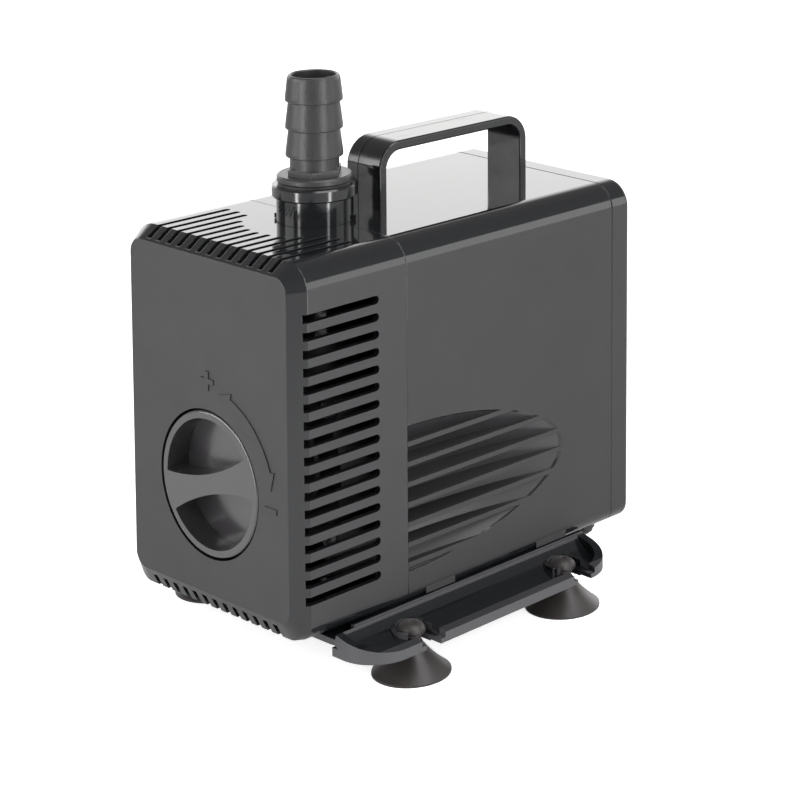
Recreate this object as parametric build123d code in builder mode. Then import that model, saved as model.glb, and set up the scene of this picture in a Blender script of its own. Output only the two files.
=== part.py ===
from build123d import *

import os
from math import cos, radians, sin, sqrt

os.makedirs("parts", exist_ok=True)

# Submersible fountain pump in millimetres. +Z is up, the intake face looks towards -Y, and the
# origin is on the floor under the middle of the body. The rotor turns about a line along Y.

# ---------------------------------------------------------------- driving dimensions
body_width = 120.0
body_length = 210.4
body_height = 171.8
floor_gap = 24.2
wall = 3.0
edge_radius = 12.5
lower_edge_radius = 8.0
chamfer_inset = 5.5
chamfer_depth = 7.6
panel_radius = 7.0
cover_length = 64.0
chin_rise = 1.7
rear_cover_depth = 12.4
seam_break = 0.4

axis_height = 61.8
running_gap = 0.06
press_gap = 0.02
slip_gap = 0.3

hose_bore_radius = 10.1
barb_crest_radius = 13.1
barb_pitch = 12.9
riser_radius = 17.5
riser_setback = 62.4
front_y = -104.0

# ---------------------------------------------------------------- worked-out places
half_width = body_width / 2
rear_y = front_y + body_length
seam_y = front_y + cover_length
rear_seam_y = rear_y - rear_cover_depth
bottom_z = floor_gap
top_z = floor_gap + body_height
middle_z = (bottom_z + top_z) / 2
axis_z = bottom_z + axis_height
riser_y = front_y + riser_setback


# ---------------------------------------------------------------- helpers
def upright(y):
    """Plane facing the front at a given Y: sketch x runs along +X and sketch y along +Z."""
    return Plane.XZ.offset(-y)


def level(z):
    """Horizontal plane at a given height."""
    return Plane.XY.offset(z)


def side_on(x):
    """Plane across the body at a given X: sketch x runs along +Y and sketch y along +Z."""
    return Plane.YZ.offset(x)


def face_outline(half, low, high, low_radius, high_radius):
    """Rounded outline facing the front: half width, heights and the radii of both corner pairs."""
    with BuildSketch(mode=Mode.PRIVATE) as outline:
        with Locations((0, (low + high) / 2)):
            Rectangle(2 * half, high - low)
        fillet(outline.vertices().group_by(Axis.Y)[-1], high_radius)
        fillet(outline.vertices().group_by(Axis.Y)[0], low_radius)
    return outline.sketch


def body_section(inset, rise=0.0):
    """Rounded outline of the body, inset evenly, with its bottom line raised by a rise."""
    return face_outline(
        half_width - inset,
        bottom_z + rise + inset,
        top_z - inset,
        lower_edge_radius - inset,
        edge_radius - inset,
    )


def body_slab(inset, y_front, y_back, mode=Mode.ADD, rise=0.0):
    """Slab with the body's outline, inset evenly, between two Y places."""
    with BuildSketch(upright(y_front)) as outline:
        add(body_section(inset, rise))
    extrude(outline.sketch, amount=-(y_back - y_front), mode=mode)


def block(x_span, y_span, z_span, mode=Mode.ADD):
    """Box between low and high coordinates on each axis, in the current part."""
    spans = (x_span, y_span, z_span)
    middle = tuple((low + high) / 2 for low, high in spans)
    with Locations(middle):
        Box(*[high - low for low, high in spans], mode=mode)


def around(radius, angle):
    """Point at a radius and an angle in degrees, in a sketch's own axes."""
    return (radius * cos(radians(angle)), radius * sin(radians(angle)))


def turned_up(outline, centre=(0, 0), mode=Mode.ADD):
    """Full turn about a vertical line of an outline given as (radius, height) points."""
    x, y = centre
    with BuildSketch(upright(y)) as profile:
        with BuildLine():
            Polyline(*[(x + radius, height) for radius, height in outline], close=True)
        make_face()
    revolve(profile.sketch, axis=Axis((x, y, 0), (0, 0, 1)), mode=mode)


def turned_along(outline, mode=Mode.ADD):
    """Full turn about the rotor's line of an outline given as (radius, Y) points."""
    with BuildSketch(level(axis_z)) as profile:
        with BuildLine():
            Polyline(*outline, close=True)
        make_face()
    revolve(profile.sketch, axis=Axis((0, 0, axis_z), (0, 1, 0)), mode=mode)


def tube_along(outer, inner, y_front, y_back, mode=Mode.ADD):
    """Tube, or a rod when inner is zero, about the rotor's line."""
    turned_along(
        [(inner, y_front), (outer, y_front), (outer, y_back), (inner, y_back)], mode=mode
    )


def save(builder, name):
    """Label a finished piece and write it out."""
    builder.part.label = name
    export_step(builder.part, f"parts/{name}.step")


# ---------------------------------------------------------------- side scoops
# Each flank of the motor housing has a hollow scoop that opens forward into the strainer. Its
# surface is an arc turned about a line outside the flank, so its edge is close to half an ellipse.
scoop_depth = 14.0
scoop_half_height = 34.5
scoop_reach = 99.5
scoop_z = bottom_z + 51.3
scoop_skin = 2.6
scoop_section_radius = (scoop_half_height**2 + scoop_depth**2) / (2 * scoop_depth)
scoop_axis_x = half_width + scoop_section_radius - scoop_depth
scoop_arc_radius = (scoop_reach**2 + scoop_depth**2) / (2 * scoop_depth)
scoop_overrun = 1.0


def scoop_body(skin):
    """Solid shape of the +X scoop, grown by a skin."""
    front = seam_y - scoop_overrun
    back = seam_y + scoop_reach + 4 * skin
    deepest = (half_width - scoop_depth - skin, front)
    tip = (half_width - skin, back)
    with BuildPart(mode=Mode.PRIVATE) as scoop:
        with BuildSketch(Plane.XY.offset(scoop_z)):
            with BuildLine():
                RadiusArc(deepest, tip, scoop_arc_radius)
                Polyline(tip, (scoop_axis_x, back), (scoop_axis_x, front), deepest)
            make_face()
        revolve(axis=Axis((scoop_axis_x, 0, scoop_z), (0, 1, 0)))
    return scoop.part


scoop_right = scoop_body(0)
scoop_left = mirror(scoop_right, about=Plane.YZ)
scoop_skin_right = scoop_body(scoop_skin)
scoop_skin_left = mirror(scoop_skin_right, about=Plane.YZ)

# Seven flat fins stand level in each scoop, flush with the flank.
fin_count = 7
fin_pitch = 9.5
fin_thickness = 2.4
fin_middle_z = bottom_z + 48.6

with BuildPart() as scoop_fins:
    with Locations(
        *[
            (0, seam_y + scoop_reach / 2, fin_middle_z + (i - (fin_count - 1) / 2) * fin_pitch)
            for i in range(fin_count)
        ]
    ):
        Box(body_width, scoop_reach, fin_thickness)

# ---------------------------------------------------------------- strainer cover
slot_count_side = 17
slot_pitch_side = 7.97
slot_first_z = 45.2
slot_height = 3.9
slot_front_y = front_y + 5.7
slot_back_y = -56.2
slot_cut_depth = 9.0

slot_count_top = 13
slot_pitch_top = 7.1
slot_width_top = 3.1
slot_front_top_y = front_y + 1.4
slot_back_top_y = -57.0
slot_riser_clearance = 15.5
chin_back_y = -89.5
chin_end_y = -47.0
panel_foot = 8.7
foot_chamfer_depth = 4.5

notch_radius = riser_radius + slip_gap
knob_radius = 33.7
knob_gap = 0.9
knob_pocket_depth = 17.0
knob_pocket_wall = 2.0
clip_y = front_y + 24.2
stem_radius = 6.0
stem_hole_radius = stem_radius + running_gap
mark_relief = 0.6
mark_width = 2.4
plus_height = 48.1
plus_size = 9.0
minus_x = 43.1
minus_drop = 1.3
minus_length = 8.2
arc_radius = 44.7
arc_width = 2.8
arc_start = 19.8
arc_end = 69.7
arrow_barb = 2.6
arrow_turn = 10.0


def cover_block(inset, front, back):
    """Chamfered front of the body, shrunk by an inset, whose bottom falls to the housing's."""
    low = bottom_z + chin_rise + inset
    with BuildSketch(upright(front)) as panel:
        add(
            face_outline(
                half_width - chamfer_inset - inset,
                low + panel_foot,
                top_z - chamfer_inset - inset,
                panel_radius - inset / 2,
                panel_radius - inset / 2,
            )
        )
    side_inset = chamfer_inset * (1 - foot_chamfer_depth / chamfer_depth)
    with BuildSketch(upright(front + foot_chamfer_depth)) as foot:
        add(
            face_outline(
                half_width - side_inset - inset,
                low,
                top_z - side_inset - inset,
                lower_edge_radius - inset,
                edge_radius - side_inset - inset,
            )
        )
    with BuildSketch(upright(front + chamfer_depth)) as section:
        add(body_section(inset, chin_rise))
    loft([panel.sketch.face(), foot.sketch.face()])
    loft([foot.sketch.face(), section.sketch.face()])
    body_slab(inset, front + chamfer_depth, chin_back_y, rise=chin_rise)
    with BuildSketch(upright(chin_back_y)) as chin:
        add(body_section(inset, chin_rise))
    with BuildSketch(upright(chin_end_y)) as level_bottom:
        add(body_section(inset))
    loft([chin.sketch.face(), level_bottom.sketch.face()])
    body_slab(inset, chin_end_y, back)


def slot_tool(middle_x, middle_y_range, height):
    """Long slot outline with a square front end and a round back end, along sketch x."""
    front, back = middle_y_range
    radius = height / 2
    with Locations(((front + back - radius) / 2, middle_x)):
        Rectangle(back - radius - front, height)
    with Locations((back - radius, middle_x)):
        Circle(radius)


with BuildPart(mode=Mode.PRIVATE) as cover_hollow:
    cover_block(wall, front_y + wall, seam_y + 1)

with BuildPart() as strainer_cover:
    cover_block(0, front_y, seam_y)
    add(cover_hollow.part, mode=Mode.SUBTRACT)

    # Pocket for the flow knob: a short cup behind the front panel with a bearing hole.
    tube_along(
        knob_radius + knob_gap + knob_pocket_wall,
        knob_radius + knob_gap,
        front_y + wall / 2,
        front_y + knob_pocket_depth,
    )
    tube_along(
        knob_radius + knob_gap + knob_pocket_wall,
        stem_hole_radius,
        front_y + knob_pocket_depth,
        front_y + knob_pocket_depth + 2.5,
    )
    tube_along(knob_radius + knob_gap, 0, front_y - 1, front_y + knob_pocket_depth, Mode.SUBTRACT)
    tube_along(stem_radius + 3.5, stem_hole_radius, front_y + knob_pocket_depth, clip_y - 0.2)

    # Slots through both flanks.
    for flank in (1, -1):
        with BuildSketch(side_on(flank * (half_width + 1))):
            for i in range(slot_count_side):
                slot_z = slot_first_z + i * slot_pitch_side
                slot_tool(slot_z, (slot_front_y, slot_back_y), slot_height)
        extrude(amount=-flank * slot_cut_depth, mode=Mode.SUBTRACT)

    # Slots through the top end on an arc around the riser, and the bottom ones end in line.
    riser_arc = riser_radius + slot_riser_clearance
    for i in range(slot_count_top):
        slot_x = (i - (slot_count_top - 1) / 2) * slot_pitch_top
        back = slot_back_top_y
        if abs(slot_x) < riser_arc:
            back = min(back, riser_y - sqrt(riser_arc**2 - slot_x**2))
        with BuildSketch(level(top_z + 1)):
            with Locations(Location((0, 0, 0), (0, 0, 90))):
                slot_tool(-slot_x, (slot_front_top_y, back), slot_width_top)
        extrude(amount=-slot_cut_depth, mode=Mode.SUBTRACT)
        with BuildSketch(level(bottom_z - 1)):
            with Locations(Location((0, 0, 0), (0, 0, 90))):
                slot_tool(-slot_x, (slot_front_top_y, slot_back_top_y), slot_width_top)
        extrude(amount=slot_cut_depth + 1, mode=Mode.SUBTRACT)

    # Raised flow marks beside the knob: an arc with a half arrowhead at each end, a plus and a
    # minus.
    with BuildSketch(upright(front_y)):
        inner = arc_radius - arc_width / 2
        outer = arc_radius + arc_width / 2
        with Locations((0, axis_z)):
            Circle(outer)
            Circle(inner, mode=Mode.SUBTRACT)
            corners = [around(2 * outer, angle) for angle in (arc_start, arc_end)]
            Polygon((0, 0), *corners, align=None, mode=Mode.INTERSECT)
            for base, turn in ((arc_start, -arrow_turn), (arc_end, arrow_turn)):
                Polygon(
                    around(inner - 0.1, base - turn / 10),
                    around(outer + arrow_barb, base),
                    around(arc_radius - arc_width / 4, base + turn),
                    align=None,
                )
        with Locations((0, axis_z + plus_height)):
            Rectangle(plus_size, mark_width)
            Rectangle(mark_width, plus_size)
        with Locations((minus_x, axis_z - minus_drop)):
            Rectangle(minus_length, mark_width)
    extrude(amount=mark_relief)

    # Rear notch that lets the cover slide forward past the riser.
    with BuildSketch(level(top_z + 1)):
        with Locations((0, riser_y)):
            Circle(notch_radius)
        with Locations((0, (riser_y + seam_y + 1) / 2)):
            Rectangle(2 * notch_radius, seam_y + 1 - riser_y)
    extrude(amount=-12, mode=Mode.SUBTRACT)

save(strainer_cover, "strainer_cover")


# ---------------------------------------------------------------- flow knob, shutter and clip
knob_depth = 15.0
rim_width = 3.6
rim_round = 1.2
well_depth = 12.0
bar_waist = 4.6
bar_end = 10.5
bar_tilt = 18.0
stem_flat = 4.6
clip_thickness = 1.2
clip_groove_depth = 1.0
shutter_radius = 25.0
shutter_front_y = -64.0
shutter_thickness = 2.6
stem_back_y = shutter_front_y + shutter_thickness + 0.3
port_inner_radius = 9.5
port_outer_radius = 21.5
port_angle = 78.0

knob_back_y = front_y + knob_depth
well_radius = knob_radius - rim_width
bar_flare = bar_end - bar_waist
bar_arc_radius = (knob_radius**2 + bar_flare**2) / (2 * bar_flare)


def cut_ports(turn, y_front, y_back):
    """Cut two opposite ring-sector ports about the rotor's line, at a turn in degrees."""
    reach = 2 * port_outer_radius
    half = radians(90 - port_angle / 2)
    corners = [(0, 0)] + [(reach * cos(half), side * reach * sin(half)) for side in (-1, 1)]
    with BuildSketch(upright(y_front)) as ports:
        with Locations((0, axis_z)):
            Circle(port_outer_radius)
            Circle(port_inner_radius, mode=Mode.SUBTRACT)
        for side in (90, 270):
            with Locations(Location((0, axis_z, 0), (0, 0, turn + side))):
                Polygon(*corners, align=None, mode=Mode.SUBTRACT)
    extrude(ports.sketch, amount=-(y_back - y_front), mode=Mode.SUBTRACT)


with BuildPart() as flow_knob:
    tube_along(knob_radius, 0, front_y, knob_back_y)
    fillet(flow_knob.faces().sort_by(Axis.Y)[0].edges(), rim_round)
    # Two wells leave a waisted grip bar across the face.
    for side in (1, -1):
        lean = radians(bar_tilt + 90 * side)
        centre = bar_arc_radius + bar_waist
        with BuildSketch(upright(front_y - 1)):
            with Locations((0, axis_z)):
                Circle(well_radius)
            with Locations((centre * cos(lean), axis_z + centre * sin(lean))):
                Circle(bar_arc_radius, mode=Mode.INTERSECT)
        extrude(amount=-(well_depth + 1), mode=Mode.SUBTRACT)
    # Stem through the cover's bearing hole, with a clip groove and a flatted tip.
    tube_along(stem_radius, 0, knob_back_y, stem_back_y)
    tube_along(
        stem_radius + 1,
        stem_radius - clip_groove_depth,
        clip_y - running_gap,
        clip_y + clip_thickness + running_gap,
        Mode.SUBTRACT,
    )
    for x_span in ((stem_flat, stem_radius + 1), (-stem_radius - 1, -stem_flat)):
        block(
            x_span,
            (shutter_front_y, stem_back_y + 1),
            (axis_z - knob_radius, axis_z + knob_radius),
            mode=Mode.SUBTRACT,
        )

with BuildPart() as flow_shutter:
    tube_along(shutter_radius, 0, shutter_front_y, shutter_front_y + shutter_thickness)
    cut_ports(90, shutter_front_y - 1, shutter_front_y + shutter_thickness + 1)
    with BuildSketch(upright(shutter_front_y - 1)):
        with Locations((0, axis_z)):
            Circle(stem_radius + press_gap)
            Rectangle(2 * (stem_flat + press_gap), 4 * stem_radius, mode=Mode.INTERSECT)
    extrude(amount=-(shutter_thickness + 2), mode=Mode.SUBTRACT)

with BuildPart() as knob_clip:
    tube_along(
        stem_radius + 2.6,
        stem_radius - clip_groove_depth + press_gap,
        clip_y,
        clip_y + clip_thickness,
    )
    block(
        (-3.5, 3.5),
        (clip_y - 1, clip_y + clip_thickness + 1),
        (axis_z - 2 * stem_radius, axis_z - 2),
        mode=Mode.SUBTRACT,
    )

save(flow_knob, "flow_knob")
save(flow_shutter, "flow_shutter")
save(knob_clip, "knob_clip")

# ---------------------------------------------------------------- motor housing
bulkhead_front_y = -23.0
bulkhead_thickness = 4.0
bulkhead_back_y = bulkhead_front_y + bulkhead_thickness
volute_boss_back_y = bulkhead_back_y + 6.0
well_outer_radius = 18.0
tongue_thickness = 2.0
tongue_reach = 6.0
tongue_width = 18.0
tongue_x = 36.0
boss_radius = 5.5
boss_x = 30.0
boss_inset = 8.0
boss_length = 22.0
screw_radius = 1.75
screw_length = 18.0
gland_x = 50.0
gland_y = 84.0
gland_boss_radius = 6.0
gland_boss_z = bottom_z - 0.6
gland_neck_radius = 4.6
handle_front_y = -12.6
handle_back_y = 83.0
strap_width = 23.4
strap_thickness = 4.5
tenon_width = 16.0
tenon_thickness = 3.0
tenon_depth = 5.5
volute_screw_circle = 43.0
volute_screw_angles = (45, 135, 225, 315)
deck_top_z = 23.9
deck_thickness = 3.0
deck_bottom_z = deck_top_z - deck_thickness
lug_spans = ((-29.1, -11.2), (41.8, 62.0))
lug_stem_x = (52.2, 57.2)
lug_pad_x = (55.0, half_width)
lug_pad_z = (27.5, bottom_z + 6.4)
lug_foot_x = (48.8, 57.2)
lug_foot_thickness = 2.4
lug_foot_top_z = deck_bottom_z - slip_gap
lug_foot_z = lug_foot_top_z - lug_foot_thickness
lug_root_z = bottom_z + 4.0

rear_boss_places = [
    (x, z) for x in (boss_x, -boss_x) for z in (bottom_z + boss_inset, top_z - boss_inset)
]
volute_screw_places = [
    (volute_screw_circle * cos(radians(a)), axis_z + volute_screw_circle * sin(radians(a)))
    for a in volute_screw_angles
]
tenon_middles = (
    handle_front_y + strap_thickness / 2,
    handle_back_y - strap_thickness / 2,
)


def rods_along(radius, places, y_front, y_back, mode=Mode.ADD):
    """Equal rods along Y at (X, Z) places."""
    with BuildSketch(upright(y_front)) as discs:
        with Locations(*places):
            Circle(radius)
    extrude(discs.sketch, amount=-(y_back - y_front), mode=mode)


with BuildPart(mode=Mode.PRIVATE) as scoop_walls:
    body_slab(wall / 2, seam_y, rear_seam_y)
    add(scoop_skin_right + scoop_skin_left, mode=Mode.INTERSECT)

with BuildPart() as motor_housing:
    body_slab(0, seam_y, rear_seam_y)
    chamfer(motor_housing.faces().filter_by(Axis.Y).edges(), seam_break)
    body_slab(wall, seam_y - 1, rear_seam_y + 1, Mode.SUBTRACT)
    add(scoop_walls.part)

    # Bulkhead that closes the dry motor space from the wet end, with the rotor well's hole and
    # four blind bosses for the volute's screws.
    body_slab(wall / 2, bulkhead_front_y, bulkhead_back_y)
    rods_along(boss_radius, volute_screw_places, bulkhead_front_y, volute_boss_back_y)
    tube_along(
        well_outer_radius + press_gap, 0, bulkhead_front_y - 1, bulkhead_back_y + 1, Mode.SUBTRACT
    )
    rods_along(
        screw_radius + press_gap,
        volute_screw_places,
        bulkhead_front_y - 1,
        volute_boss_back_y - 2,
        Mode.SUBTRACT,
    )

    # Scoop hollows, each keeping its row of fins.
    for hollow in (scoop_right, scoop_left):
        add(hollow - scoop_fins.part, mode=Mode.SUBTRACT)

    # Tongues that locate the strainer cover.
    for wall_z, inward in ((top_z - wall, -1), (bottom_z + wall, 1)):
        near = wall_z + inward * slip_gap
        far = near + inward * tongue_thickness
        for middle_x in (tongue_x, -tongue_x):
            x_span = (middle_x - tongue_width / 2, middle_x + tongue_width / 2)
            block(x_span, (seam_y - tongue_reach, seam_y + tongue_reach), sorted((near, far)))
            block(x_span, (seam_y + 1, seam_y + tongue_reach), sorted((wall_z, near)))

    # Bosses for the rear cover's screws.
    rods_along(boss_radius, rear_boss_places, rear_seam_y - boss_length, rear_seam_y)
    rods_along(
        screw_radius + press_gap,
        rear_boss_places,
        rear_seam_y - screw_length,
        rear_seam_y + 1,
        Mode.SUBTRACT,
    )

    # Rim and hole for the cable gland.
    turned_up(
        [
            (0, gland_boss_z),
            (gland_boss_radius, gland_boss_z),
            (gland_boss_radius, bottom_z + wall + 1.5),
            (0, bottom_z + wall + 1.5),
        ],
        (gland_x, gland_y),
    )
    with BuildSketch(level(gland_boss_z - 1)):
        with Locations((gland_x, gland_y)):
            Circle(gland_neck_radius + press_gap)
    extrude(amount=2 * wall + 4, mode=Mode.SUBTRACT)

    # Front notch around the riser and two sockets for the handle's tenons.
    with BuildSketch(level(top_z + 1)):
        with Locations((0, riser_y)):
            Circle(notch_radius)
        for middle_y in tenon_middles:
            with Locations((0, middle_y)):
                Rectangle(tenon_width + slip_gap, tenon_thickness + slip_gap)
    extrude(amount=-(wall + 2), mode=Mode.SUBTRACT)

    # Hooked lugs that hold the base plate, each under a pad flush with the flank.
    for y_span in lug_spans:
        for side in (1, -1):
            stem_x = sorted((side * lug_stem_x[0], side * lug_stem_x[1]))
            foot_x = sorted((side * lug_foot_x[0], side * lug_foot_x[1]))
            block(stem_x, y_span, (lug_foot_z, lug_root_z))
            block(foot_x, y_span, (lug_foot_z, lug_foot_top_z))
            pad_x = sorted((side * lug_pad_x[0], side * lug_pad_x[1]))
            block(pad_x, y_span, lug_pad_z)

save(motor_housing, "motor_housing")

# ---------------------------------------------------------------- carry handle
handle_top_z = top_z + 31.5
handle_radius = 13.0
strap_round = 0.9
parting_depth = 0.35
parting_width = 0.5
parting_x = -3.9


def strap_outline(inset, foot_z):
    """Filled arch of the handle's outer line, inset evenly, from a foot height up."""
    width = handle_back_y - handle_front_y - 2 * inset
    height = handle_top_z - inset - foot_z
    with BuildSketch(mode=Mode.PRIVATE) as arch:
        with Locations(((handle_front_y + handle_back_y) / 2, foot_z + height / 2)):
            Rectangle(width, height)
        fillet(arch.vertices().group_by(Axis.Y)[-1], handle_radius - inset)
    return arch.sketch


with BuildPart() as carry_handle:
    with BuildSketch(side_on(-strap_width / 2)):
        add(strap_outline(0, top_z))
        add(strap_outline(strap_thickness, top_z), mode=Mode.SUBTRACT)
    extrude(amount=strap_width)
    side_edges = carry_handle.faces().filter_by(Axis.X).edges()
    fillet(side_edges.filter_by(lambda edge: edge.center().Z > top_z + 1), strap_round)
    # Fine parting line along the outside of the strap.
    with BuildSketch(side_on(parting_x)):
        add(strap_outline(-1, top_z))
        add(strap_outline(parting_depth, top_z), mode=Mode.SUBTRACT)
    extrude(amount=parting_width, mode=Mode.SUBTRACT)
    for middle_y in tenon_middles:
        block(
            (-tenon_width / 2, tenon_width / 2),
            (middle_y - tenon_thickness / 2, middle_y + tenon_thickness / 2),
            (top_z - tenon_depth, top_z),
        )

save(carry_handle, "carry_handle")

# ---------------------------------------------------------------- rear cover and its screws
rear_edge_round = 2.5
rear_wall = 4.0
lip_depth = 3.0
lip_thickness = 2.4
field_inset = 15.0
field_depth = 0.8
field_radius = 6.0
screw_head_radius = 3.4
screw_head_depth = 2.4
head_pocket_radius = 4.2
head_pocket_depth = 3.4
hex_key_width = 3.0
hex_key_depth = 1.4

with BuildPart() as rear_cover:
    body_slab(0, rear_seam_y, rear_y)
    fillet(rear_cover.faces().sort_by(Axis.Y)[-1].edges(), rear_edge_round)
    chamfer(rear_cover.faces().sort_by(Axis.Y)[0].edges(), seam_break)
    body_slab(wall + slip_gap, rear_seam_y - lip_depth, rear_seam_y)
    body_slab(
        wall + slip_gap + lip_thickness,
        rear_seam_y - lip_depth - 1,
        rear_y - rear_wall,
        Mode.SUBTRACT,
    )
    rods_along(boss_radius, rear_boss_places, rear_seam_y, rear_y - rear_wall / 2)
    rods_along(
        boss_radius + slip_gap,
        rear_boss_places,
        rear_seam_y - lip_depth - 1,
        rear_seam_y,
        Mode.SUBTRACT,
    )
    # Shallow field on the back, screw holes and head pockets.
    with BuildSketch(upright(rear_y - field_depth)) as field:
        with Locations((0, middle_z)):
            RectangleRounded(
                body_width - 2 * field_inset, body_height - 4.4 * field_inset, field_radius
            )
    extrude(amount=-(field_depth + 1), mode=Mode.SUBTRACT)
    rods_along(
        screw_radius + slip_gap, rear_boss_places, rear_seam_y - 1, rear_y + 1, Mode.SUBTRACT
    )
    rods_along(
        head_pocket_radius, rear_boss_places, rear_y - head_pocket_depth, rear_y + 1, Mode.SUBTRACT
    )


def socket_screws(places, seat_y, toward, shank_length):
    """Pan-headed screws along Y: heads stand from the seat away from `toward` (+1 or -1)."""
    head_y = seat_y - toward * screw_head_depth
    tip_y = seat_y + toward * shank_length
    rods_along(screw_head_radius, places, *sorted((seat_y, head_y)))
    rods_along(screw_radius, places, *sorted((seat_y, tip_y)))
    with BuildSketch(upright(head_y)) as sockets:
        with Locations(*places):
            Rectangle(hex_key_width * 1.6, 0.8)
            Rectangle(0.8, hex_key_width * 1.6)
    extrude(sockets.sketch, amount=-toward * hex_key_depth, mode=Mode.SUBTRACT)


with BuildPart() as rear_cover_screws:
    seat = rear_y - head_pocket_depth
    socket_screws(rear_boss_places, seat, -1, seat - rear_seam_y + screw_length - 1)

save(rear_cover, "rear_cover")
save(rear_cover_screws, "rear_cover_screws")

# ---------------------------------------------------------------- cable gland and cable stub
cable_radius = 3.2
gland_relief_radius = 5.2
gland_foot_z = 20.8
cable_end_z = 20.1
gland_collar_height = 2.4
cable_start = (24.0, 52.0, 122.0)

with BuildPart() as cable_gland:
    collar_top = bottom_z + wall + 1.5 + gland_collar_height
    turned_up(
        [
            (cable_radius + press_gap, gland_foot_z),
            (gland_relief_radius - 1.1, gland_foot_z),
            (gland_relief_radius - 0.3, gland_foot_z + 0.7),
            (gland_relief_radius, gland_foot_z + 1.8),
            (gland_relief_radius, gland_boss_z),
            (gland_neck_radius, gland_boss_z),
            (gland_neck_radius, collar_top - gland_collar_height),
            (gland_neck_radius + 0.8, collar_top - gland_collar_height),
            (gland_neck_radius + 0.4, collar_top),
            (cable_radius + press_gap, collar_top),
        ],
        (gland_x, gland_y),
    )

with BuildPart() as power_cable:
    with BuildLine() as cable_run:
        straight_top = (gland_x, gland_y, collar_top + 2)
        Line((gland_x, gland_y, cable_end_z), straight_top)
        Spline(straight_top, cable_start, tangents=((0, 0, 1), (0, -1, 0.6)))
    with BuildSketch(level(cable_end_z)):
        with Locations((gland_x, gland_y)):
            Circle(cable_radius)
    sweep(path=cable_run.line)

save(cable_gland, "cable_gland")
save(power_cable, "power_cable")

# ---------------------------------------------------------------- rotor well and stator
well_inner_radius = 16.2
well_flange_radius = 24.0
well_flange_thickness = 1.5
well_floor_y = 45.5
well_end_wall = 2.0
bushing_radius = 5.0
bushing_depth = 5.0
shaft_radius = 2.5
magnet_front_y = -9.0
magnet_back_y = 43.0
core_front_y = -1.0
core_back_y = 35.0
core_air_gap = 0.4
leg_inner_x = 15.0
leg_outer_x = 31.0
pole_height = 21.0
pole_inner_x = 4.0
pole_outer_x = 33.0
yoke_bottom_z = top_z - 25.0
yoke_top_z = top_z - 9.0
bobbin_wall = 1.2
bobbin_flange = 2.0
bobbin_reach = 11.0
coil_reach = 9.5
bobbin_bottom_z = axis_z + pole_height + 2.0
bobbin_top_z = yoke_bottom_z - 1.0

leg_middle_x = (leg_inner_x + leg_outer_x) / 2
core_middle_y = (core_front_y + core_back_y) / 2
leg_width = leg_outer_x - leg_inner_x
core_depth = core_back_y - core_front_y


def leg_places():
    """Places of the two core legs."""
    return Locations((leg_middle_x, core_middle_y), (-leg_middle_x, core_middle_y))


def leg_ring(outer, inner, z_low, z_high, mode=Mode.ADD):
    """Rectangular rings around both core legs, grown by outer and inner margins."""
    with BuildSketch(level(z_low)) as rings:
        with leg_places():
            RectangleRounded(leg_width + 2 * outer, core_depth + 2 * outer, max(outer, 0.5))
            Rectangle(leg_width + 2 * inner, core_depth + 2 * inner, mode=Mode.SUBTRACT)
    extrude(rings.sketch, amount=z_high - z_low, mode=mode)


with BuildPart() as rotor_well:
    tube_along(well_flange_radius, 0, bulkhead_front_y - well_flange_thickness, bulkhead_front_y)
    tube_along(well_outer_radius, 0, bulkhead_front_y, well_floor_y + bushing_depth + well_end_wall)
    tube_along(
        well_inner_radius,
        0,
        bulkhead_front_y - well_flange_thickness - 1,
        well_floor_y,
        Mode.SUBTRACT,
    )
    tube_along(bushing_radius + press_gap, 0, well_floor_y - 1, well_floor_y + bushing_depth,
               Mode.SUBTRACT)

with BuildPart() as stator_core:
    with BuildSketch(upright(core_front_y)):
        for side in (1, -1):
            with Locations((side * (pole_inner_x + pole_outer_x) / 2, axis_z)):
                Rectangle(pole_outer_x - pole_inner_x, 2 * pole_height)
            with Locations((side * leg_middle_x, (axis_z + yoke_top_z) / 2)):
                Rectangle(leg_width, yoke_top_z - axis_z)
        with Locations((0, (yoke_bottom_z + yoke_top_z) / 2)):
            Rectangle(2 * leg_outer_x, yoke_top_z - yoke_bottom_z)
        with Locations((0, axis_z)):
            Circle(well_outer_radius + core_air_gap, mode=Mode.SUBTRACT)
    extrude(amount=-core_depth)
    # Shallow lamination grooves across the yoke's top.
    for i in range(1, 12):
        groove_y = core_front_y + core_depth * i / 12
        block(
            (-leg_outer_x - 1, leg_outer_x + 1),
            (groove_y - 0.15, groove_y + 0.15),
            (yoke_top_z - 0.5, yoke_top_z + 1),
            mode=Mode.SUBTRACT,
        )

with BuildPart() as coil_bobbins:
    inner = slip_gap
    leg_ring(inner + bobbin_wall, inner, bobbin_bottom_z, bobbin_top_z)
    leg_ring(bobbin_reach, inner, bobbin_bottom_z, bobbin_bottom_z + bobbin_flange)
    leg_ring(bobbin_reach, inner, bobbin_top_z - bobbin_flange, bobbin_top_z)

with BuildPart() as stator_coils:
    leg_ring(
        coil_reach,
        slip_gap + bobbin_wall + press_gap,
        bobbin_bottom_z + bobbin_flange + press_gap,
        bobbin_top_z - bobbin_flange - press_gap,
    )

with BuildPart() as thermal_cutout:
    coil_back_y = core_back_y + coil_reach
    block(
        (leg_middle_x - 7, leg_middle_x + 7),
        (coil_back_y + 0.1, coil_back_y + 4.6),
        (axis_z + 50, axis_z + 60),
    )
    fillet(thermal_cutout.edges().filter_by(Axis.Z), 1.0)

save(rotor_well, "rotor_well")
save(stator_core, "stator_core")
save(coil_bobbins, "coil_bobbins")
save(stator_coils, "stator_coils")
save(thermal_cutout, "thermal_cutout")

# ---------------------------------------------------------------- potting resin
potting_back_y = 58.0
potting_gap = 0.1

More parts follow.
